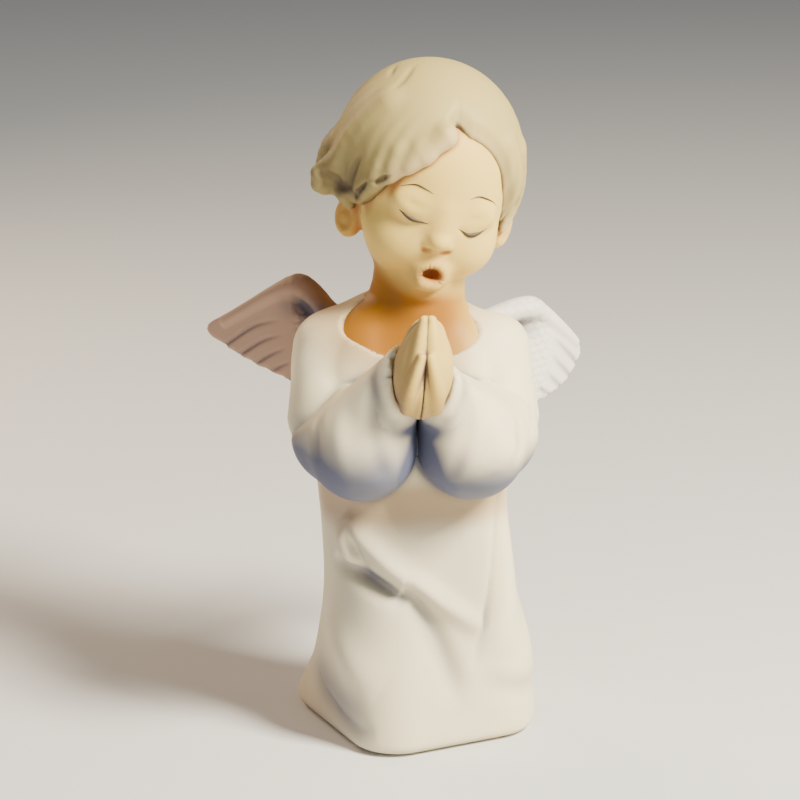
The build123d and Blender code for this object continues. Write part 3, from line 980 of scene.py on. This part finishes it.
def plain_paint(name, colour, rough):
    """A flat painted line or a small dark part, with a slight unevenness."""
    paint = Paint(name)
    cloud = paint.noise(900.0, 2.0)
    paint.set("Base Color", paint.mix(cloud * 0.5, colour, [c * 0.7 for c in colour]))
    paint.set("Roughness", paint.noise(500.0) * 0.1 + rough)
    paint.set("Normal", paint.bump(paint.noise(2500.0), 0.1, 0.0001))
    return paint.material


# ---------------------------------------------------------------- settings


def colour_property(name, description, default):
    return FloatVectorProperty(
        name=name, description=description, default=default, subtype="COLOR", min=0, max=1, size=3
    )


def skin_property(name, default, least):
    description = "Edge length of the " + name.lower() + "'s mesh, in millimetres"
    return FloatProperty(name=name + " skin", description=description, default=default, min=least, max=3)


def length_property(name, description, default):
    return FloatProperty(name=name, description=description, default=default, unit="LENGTH")


class FigurineSizes(bpy.types.PropertyGroup):
    robe_skin: skin_property("Robe", 0.55, 0.3)
    head_skin: skin_property("Head", 0.40, 0.2)
    hair_skin: skin_property("Hair", 0.42, 0.2)
    hand_skin: skin_property("Hand", 0.26, 0.15)
    wing_skin: skin_property("Wing", 0.30, 0.15)
    floor_size: length_property("Floor size", "Width of the floor under the figurine", 10.0)
    camera_distance: length_property("Camera distance", "How far the camera stands off", 0.62)


class FigurineColours(bpy.types.PropertyGroup):
    robe: colour_property("Robe", "The robe's open surface", (0.88, 0.79, 0.54))
    # Painted shade colour for the robe's recesses, undersides, folds and shaded side.
    robe_shade: colour_property("Robe shade", "Airbrushed into the robe's recesses", (0.095, 0.105, 0.17))
    skin: colour_property("Skin", "Face, neck and hands", (0.82, 0.585, 0.15))
    # Painted shade colour for the skin's recesses.
    skin_shade: colour_property("Skin shade", "Airbrushed into the skin's recesses", (0.50, 0.22, 0.06))
    # Painted shade colour between the fingers and on the hands' shaded sides.
    hand_shade: colour_property("Hand shade", "Airbrushed between the fingers", (0.20, 0.13, 0.10))
    # Painted warm shade colour: round the neck, under the sleeves, at the train, on the right ear, low on the
    # hands and on the wing roots.
    warm: colour_property("Warm", "Airbrushed round the neck and the wing roots", (0.34, 0.135, 0.008))
    lips: colour_property("Mouth", "The inside of the mouth", (0.26, 0.10, 0.05))
    hair: colour_property("Hair", "The hair's open surface", (0.48, 0.385, 0.145))
    # Painted shade colour between the locks and along the partings.
    hair_shade: colour_property("Hair shade", "Airbrushed between the locks", (0.115, 0.085, 0.045))
    hair_root: colour_property("Hair root", "Where the hair fades into the skin", (0.66, 0.50, 0.24))
    # The right wing's browner colour is painted shade and warm reflected light; the left wing shows the plain
    # colour.
    right_wing: colour_property("Right wing", "The wing at the figurine's right", (0.50, 0.32, 0.22))
    left_wing: colour_property("Left wing", "The wing at the figurine's left", (0.82, 0.79, 0.72))
    # Painted shade colour between the feathers and in the hollows.
    wing_shade: colour_property("Wing shade", "Airbrushed between the feathers", (0.24, 0.21, 0.24))
    line: colour_property("Painted line", "Brows and lids", (0.05, 0.03, 0.012))


def sizes():
    return bpy.context.scene.figurine_sizes


def colours():
    return bpy.context.scene.figurine_colours


# ---------------------------------------------------------------- operators


# The shade beside the long fold of the right sleeve
CUFF_FOLD_SHADE = (
    ((-8.9, -23.6, 83.0), (-9.3, -25.8, 78.6), (-9.2, -27.0, 72.6), (-7.6, -27.4, 67.0), (-6.8, -26.0, 62.0)),
    2.2, (0.1, 0.3, 0.4, 0.3, 0.0),
)


class FIGURINE_OT_robe(bpy.types.Operator):
    """Sculpt the robe with its sleeves"""

    bl_idname = "figurine.robe"
    bl_label = "Robe"

    def execute(self, context):
        mesh = sculpt("robe", sizes().robe_skin)
        p, outwards = coordinates(mesh), directions(mesh)
        room = from_hands(p)
        # Painted shade in the robe's recesses, fading out near the cuffs.
        add_mask(mesh, "recess", closed_in(mesh) * (1 - 0.8 * ramp(room, 3.0, 1.0)))
        # Painted warm shade round the collar under the chin, on the torso under the sleeves and at the train.
        away = np.linalg.norm((p - (-3.5, -2.0, 88.0)) * (0.8, 1, 1), axis=1)
        under_arms = ramp(p[:, 2], 44.5, 50.0) * ramp(p[:, 2], 58.0, 54.0) * ramp(p[:, 1], 2.0, -6.0)
        train = ramp(p[:, 0], -14.0, -20.0) * ramp(p[:, 2], 17.0, 9.0)
        collar = ramp(away, 18.0, 10.0) * ramp(p[:, 1], 12.0, 2.0)
        add_mask(mesh, "warm", 0.5 * collar + 0.55 * under_arms + 0.3 * train)
        # Painted shade: under the hanging sleeves, in the cleft between them, on the figurine's right side turned
        # from the light, along the folds, beside the cuffs, above the knee fold and over the middle of the front.
        front = ramp(p[:, 1], -4.0, -12.0)
        sleeves = ramp(robe_torso(p), 0.3, 2.5) * ramp(p[:, 2], 50.0, 54.0)
        below = ramp(p[:, 2] + 0.35 * np.maximum(p[:, 0], 0), 72.5, 60.0)
        facing_down = ramp(-outwards[:, 2], -0.2, 0.6) * ramp(p[:, 2], 76.0, 66.0)
        below = front * sleeves * np.maximum(below, facing_down)
        beside_fold = line_mark(p, *CUFF_FOLD_SHADE)
        cleft = ramp(np.abs(p[:, 0] - 0.4), 5.0, 0.8) * ramp(p[:, 2], 54.0, 58.0) * ramp(p[:, 2], 76.0, 68.0)
        left = ramp(-outwards[:, 0], 0.15, 1.0) * ramp(p[:, 1], 16.0, -6.0) * ramp(p[:, 2], 80.0, 66.0)
        angle = robe_angle(p)
        places = unrolled(np.column_stack([angle, p[:, 2]]))
        knee = unrolled(KNEE_FOLD[0]) + (0, KNEE_SHADE_RISE)
        knee = line_mark(places, knee, 5.0, (0.2, 0.4, 0.4, 0.4, 0.3, 0)) * ramp(p[:, 1], 10.0, 0.0)
        middle = ramp(angle, 58.0, 46.0) * ramp(angle, -80.0, -30.0) * ramp(p[:, 2], 56.0, 46.0)
        middle = middle * (0.07 + 0.17 * ramp(p[:, 2], 18.0, 34.0))
        grooves = 0.2 * np.maximum(robe_folds(p), 0) + 0.2 * np.maximum(sleeve_folds(p), 0)
        beside_cuff = 0.3 * np.exp(-(((room - 3.4) / 1.2) ** 2))
        cleft = 0.7 * cleft * ramp(p[:, 1], -14.0, -20.0)
        shaded = 0.95 * below + cleft + 0.3 * left + grooves + beside_cuff + beside_fold + knee + middle
        add_mask(mesh, "accent", shaded)
        shade = colours().robe_shade
        paint = bisque("robe_bisque", colours().robe, shade, colours().warm, shade)
        finish_casting("robe_casting", mesh, paint, "robe", "robe", "left_sleeve", "right_sleeve")
        return {"FINISHED"}


class FIGURINE_OT_skin(bpy.types.Operator):
    """Sculpt the head, neck and chest"""

    bl_idname = "figurine.skin"
    bl_label = "Head and chest"

    def execute(self, context):
        mesh = sculpt("head_and_chest", sizes().head_skin)
        # Painted shade in the skin's recesses.
        add_mask(mesh, "recess", closed_in(mesh))
        q = in_head(coordinates(mesh))
        # Here the second mask paints the inside of the mouth and a faint tint round it, kept off the lower lip.
        inside = ramp(oval(q, MOUTH_OPENING, (1.7, 3.4, 1.4)), 0.5, -0.2)
        around = ramp(oval(q, MOUTH_OPENING, (3.2, 4.0, 2.8)), 1.2, -0.6)
        lip = ramp(bar(q, *LOWER_LIP, 1.2, 1.2), 0.5, 0.0)
        add_mask(mesh, "accent", (inside + 0.16 * around) * (1 - 0.9 * lip))
        # Painted warm shade on the neck and chest under the chin, less on the front of the face, and on the right
        # ear.
        p = coordinates(mesh)
        away = np.linalg.norm((p - (-4.5, -8.0, 88.0)) * (0.9, 0.8, 1), axis=1)
        ears = np.minimum(*(np.linalg.norm(q - EARS[side], axis=1) for side in (-1, 1)))
        front = ramp(q[:, 1], -5.0, -12.0) * ramp(q[:, 2], -25.0, -20.0)
        right_ear = ramp(ears, 5.0, 3.0) * (q[:, 0] < 0)
        add_mask(mesh, "warm", ramp(away, 21.5, 9.0) * (1 - 0.75 * front) + 0.6 * right_ear)
        paint = bisque("skin_bisque", colours().skin, colours().skin_shade, colours().warm, colours().lips)
        finish_casting("head_and_chest_casting", mesh, paint, "skin", "head", "neck_and_chest")
        return {"FINISHED"}


class FIGURINE_OT_hair(bpy.types.Operator):
    """Sculpt the hair"""

    bl_idname = "figurine.hair"
    bl_label = "Hair"

    def execute(self, context):
        mesh = sculpt("hair", sizes().hair_skin)
        # Painted shade in the hair's recesses.
        add_mask(mesh, "recess", closed_in(mesh))
        q = in_head(coordinates(mesh))
        fringe = ramp(q[:, 0], -6.0, -11.0) * ramp(q[:, 2], 3.0, -4.0)
        add_mask(mesh, "warm", 0.8 * ramp(below_hairline(q), -4.0, 0.2) * (1 - fringe))
        # Painted shade along the partings, on the low fringe and flick at the figurine's right, and on the side
        # turned from the light.
        deep = sum(line_mark(q, points, 1.8 * width, depths) for points, width, depths in PARTINGS)
        left = ramp(-directions(mesh)[:, 0], 0.2, 1.0)
        add_mask(mesh, "accent", 0.32 * np.maximum(deep, 0) + 0.4 * fringe + 0.15 * left)
        shade = colours().hair_shade
        paint = bisque("hair_bisque", colours().hair, shade, colours().hair_root, shade)
        finish_casting("hair_casting", mesh, paint, "hair", "hair")
        return {"FINISHED"}


class FIGURINE_OT_hands(bpy.types.Operator):
    """Sculpt the two hands"""

    bl_idname = "figurine.hands"
    bl_label = "Hands"

    def execute(self, context):
        shade = colours().hand_shade
        paint = bisque("hand_bisque", colours().skin, shade, colours().warm, shade)
        for node, darker in (("right_hand", 0.6), ("left_hand", 0.2)):
            mesh = sculpt(node, sizes().hand_skin)
            # Painted shade between the fingers.
            add_mask(mesh, "recess", closed_in(mesh))
            height, outwards = coordinates(mesh)[:, 2], np.abs(directions(mesh)[:, 0])
            # Painted warm shade low on the hands.
            add_mask(mesh, "warm", 0.3 * ramp(height, 88.0, 76.0))
            # Painted shade on the outer sides, heavier on the right hand turned from the light, and low on both
            # hands.
            add_mask(mesh, "accent", darker * ramp(outwards, 0.1, 0.9) + 0.4 * ramp(height, 81.0, 74.0))
            finish_casting(node + "_casting", mesh, paint, "skin", node)
        return {"FINISHED"}


class FIGURINE_OT_wings(bpy.types.Operator):
    """Sculpt the two wings"""

    bl_idname = "figurine.wings"
    bl_label = "Wings"

    def execute(self, context):
        for node, side in (("right_wing", -1), ("left_wing", 1)):
            mesh = sculpt(node, sizes().wing_skin)
            # Painted shade in the wing's recesses.
            add_mask(mesh, "recess", closed_in(mesh))
            q = in_wing(coordinates(mesh), side)
            flat, front = q[:, :2], ramp(q[:, 2], 0.6, -0.2)
            # Painted warm shade along the rolled edge near the root, stronger on the right wing.
            rolled = ramp(wing_roll(q, side), 1.0, -0.3)
            add_mask(mesh, "warm", (0.4 if side < 0 else 0.1) * rolled * ramp(q[:, 0], 22.0, 8.0))
            # Painted shade in the hollow under the roll, along the feather grooves and round the small feathers.
            deep = front * line_mark(flat, WING_HOLLOWS[side], 2.6, (0.6, 1, 1, 0.5))
            for groove in WING_GROOVES[side]:
                deep = deep + line_mark(flat, groove, 0.8, (0, 0.35, 0.4))
            limit, size = WING_COVERTS[side]
            deep = deep + 0.12 * scallops(flat, size, limit) * front
            add_mask(mesh, "accent", deep)
            # The right wing's own colour is its painted shade and warm reflected light.
            colour, shade = getattr(colours(), node), colours().wing_shade
            paint = bisque(node + "_bisque", colour, shade, colours().warm, [c * 0.6 for c in shade])
            finish_casting(node + "_casting", mesh, paint, "wing", node)
        return {"FINISHED"}


class FIGURINE_OT_lines(bpy.types.Operator):
    """Paint the brows and the lashes"""

    bl_idname = "figurine.lines"
    bl_label = "Painted lines"

    def execute(self, context):
        paint = plain_paint("line_paint", colours().line, 0.5)
        for side, hand in ((-1, "right"), (1, "left")):
            brow = pressed_on(skin_form, out_of_head(smooth_path(BROWS[side], 5)), 6, 1.0)
            mesh = stroke_mesh(hand + "_brow", brow, taper(len(brow), 0.04, 0.17))
            finish_casting(hand + "_brow_line", mesh, paint, "skin")
            lid = pressed_on(skin_form, out_of_head(smooth_path(LIDS[side], 5)), 6, 1.0)
            mesh = stroke_mesh(hand + "_lid", lid, taper(len(lid), 0.05, 0.48))
            finish_casting(hand + "_lash_line", mesh, paint, "skin")
        return {"FINISHED"}


class FIGURINE_OT_underside(bpy.types.Operator):
    """Finish the closing plate, its plug, the felt and the pins"""

    bl_idname = "figurine.underside"
    bl_label = "Underside"

    def execute(self, context):
        looks = {
            "closing_plate": plain_paint("plate_casting", (0.70, 0.67, 0.60), 0.6),
            "pour_hole_plug": plain_paint("plug_rubber", (0.02, 0.02, 0.02), 0.7),
            "felt_pad": plain_paint("felt", (0.44, 0.41, 0.34), 0.95),
            "left_wing_pin": plain_paint("pin_steel", (0.5, 0.5, 0.5), 0.35),
        }
        looks["right_wing_pin"] = looks["left_wing_pin"]
        for node, material in looks.items():
            mesh = frame["nodes"][node].data
            mesh.materials.clear()
            mesh.materials.append(material)
        return {"FINISHED"}


def area_light(name, place, size, power, colour):
    """A soft square light that shines at the figurine's middle."""
    data = bpy.data.lights.new(name, "AREA")
    data.size = size
    data.energy = power
    data.color = colour
    lamp = linked(name, data)
    lamp.location = place
    lamp.rotation_euler = (Vector(LIGHTS_AIM) - Vector(place)).to_track_quat("-Z", "Y").to_euler()


CAMERA_AZIMUTH, CAMERA_ELEVATION = math.radians(-3.0), math.radians(16.0)
CAMERA_AIM = (-0.0025, 0.0, 0.0700)
SENSOR_WIDTH = 36
# How wide the view is at the figurine
VIEW_WIDTH = 0.1606
LIGHTS_AIM = (0, 0, 0.075)
# Each light's place, size, power and colour
LIGHTS = {
    "key": ((0.36, -0.30, 0.50), 0.18, 16.0, (1.0, 0.92, 0.74)),
    "fill": ((-0.50, -0.34, 0.10), 0.40, 0.5, (0.62, 0.68, 1.0)),
    "glow": ((-0.30, 0.30, 0.30), 0.20, 1.6, (1.0, 0.72, 0.42)),
}


class FIGURINE_OT_stage(bpy.types.Operator):
    """Set the floor, the lights and the camera"""

    bl_idname = "figurine.stage"
    bl_label = "Stage"

    def execute(self, context):
        bm = bmesh.new()
        bmesh.ops.create_grid(bm, x_segments=1, y_segments=1, size=sizes().floor_size / 2)
        mesh = bpy.data.meshes.new("floor")
        bm.to_mesh(mesh)
        bm.free()
        floor = linked("floor", mesh)
        paint = Paint("floor_card")
        paint.set("Base Color", (0.72, 0.72, 0.73, 1))
        paint.set("Roughness", 0.9)
        mesh.materials.append(paint.material)
        world = bpy.data.worlds.new("studio")
        world.use_nodes = True
        background = world.node_tree.nodes["Background"]
        background.inputs["Color"].default_value = (0.70, 0.80, 1.0, 1)
        background.inputs["Strength"].default_value = 0.13
        bpy.context.scene.world = world
        for name, light in LIGHTS.items():
            area_light(name, *light)
        camera = linked("camera", bpy.data.cameras.new("camera"))
        level = math.cos(CAMERA_ELEVATION)
        away = Vector(
            (math.sin(CAMERA_AZIMUTH) * level, -math.cos(CAMERA_AZIMUTH) * level, math.sin(CAMERA_ELEVATION))
        )
        camera.location = Vector(CAMERA_AIM) + away * sizes().camera_distance
        camera.rotation_euler = (-away).to_track_quat("-Z", "Y").to_euler()
        camera.data.sensor_width = SENSOR_WIDTH
        camera.data.lens = SENSOR_WIDTH * sizes().camera_distance / VIEW_WIDTH
        camera.data.clip_start = 0.01
        bpy.context.scene.camera = camera
        return {"FINISHED"}


class FIGURINE_PT_panel(bpy.types.Panel):
    bl_label = "Figurine"
    bl_idname = "FIGURINE_PT_panel"
    bl_space_type = "VIEW_3D"
    bl_region_type = "UI"
    bl_category = "Figurine"

    def draw(self, context):
        for operator in OPERATORS:
            self.layout.operator(operator.bl_idname)
        for group in (context.scene.figurine_sizes, context.scene.figurine_colours):
            for name in group.__annotations__:
                self.layout.prop(group, name)


OPERATORS = (
    FIGURINE_OT_robe,
    FIGURINE_OT_skin,
    FIGURINE_OT_hair,
    FIGURINE_OT_hands,
    FIGURINE_OT_wings,
    FIGURINE_OT_lines,
    FIGURINE_OT_underside,
    FIGURINE_OT_stage,
)
CLASSES = (FigurineSizes, FigurineColours, *OPERATORS, FIGURINE_PT_panel)


def register():
    for item in CLASSES:
        bpy.utils.register_class(item)
    bpy.types.Scene.figurine_sizes = PointerProperty(type=FigurineSizes)
    bpy.types.Scene.figurine_colours = PointerProperty(type=FigurineColours)


def unregister():
    del bpy.types.Scene.figurine_colours
    del bpy.types.Scene.figurine_sizes
    for item in reversed(CLASSES):
        bpy.utils.unregister_class(item)


def main():
    register()
    bpy.ops.figurine.stage()
    bpy.ops.figurine.robe()
    bpy.ops.figurine.skin()
    bpy.ops.figurine.hair()
    bpy.ops.figurine.hands()
    bpy.ops.figurine.wings()
    bpy.ops.figurine.lines()
    bpy.ops.figurine.underside()


if __name__ == "__main__":
    main()
